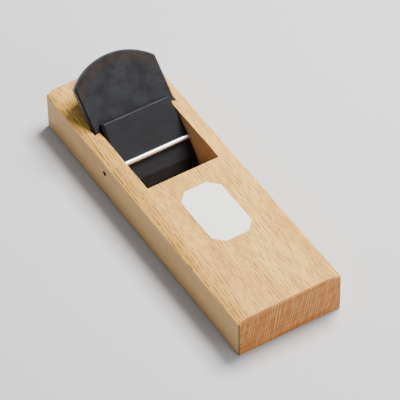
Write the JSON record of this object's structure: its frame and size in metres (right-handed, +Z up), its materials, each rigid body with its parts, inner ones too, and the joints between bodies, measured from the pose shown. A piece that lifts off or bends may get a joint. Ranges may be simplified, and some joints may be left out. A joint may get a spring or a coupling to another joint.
{
  "type": "hand plane",
  "caption": "Wooden pull plane with a domed blade carrier wedged in side grooves, a thin replaceable blade and a chip breaker held by a cross pin.",
  "frame": {"origin": "middle of the sole", "axes": "+Y along the body towards the domed head of the blade carrier, +Z up from the sole, +X to the right when seen from the labelled end"},
  "size_m": [0.088, 0.2784, 0.0702],
  "materials": {
    "oak": "planed, bare",
    "black_steel": "forged, black oxide",
    "blade_steel": "ground",
    "bright_steel": "drawn",
    "label_paper": "matt"
  },
  "bodies": {
    "block": {"body_block": "oak", "retaining_pin": "bright_steel", "paper_label": "label_paper"},
    "carrier": {"blade_carrier": "black_steel", "replaceable_blade": "blade_steel", "locating_pegs": "bright_steel"},
    "breaker": {"chip_breaker": "black_steel"}
  },
  "joints": [
    {"name": "carrier_slide", "type": "slide", "parent": "block", "child": "carrier", "axis": [0, 0.766, 0.6428], "range_m": [-0.0005, 0.07]},
    {"name": "breaker_slide", "type": "slide", "parent": "carrier", "child": "breaker", "axis": [0, 0.766, 0.6428], "range_m": [-0.0005, 0.065]}
  ]
}
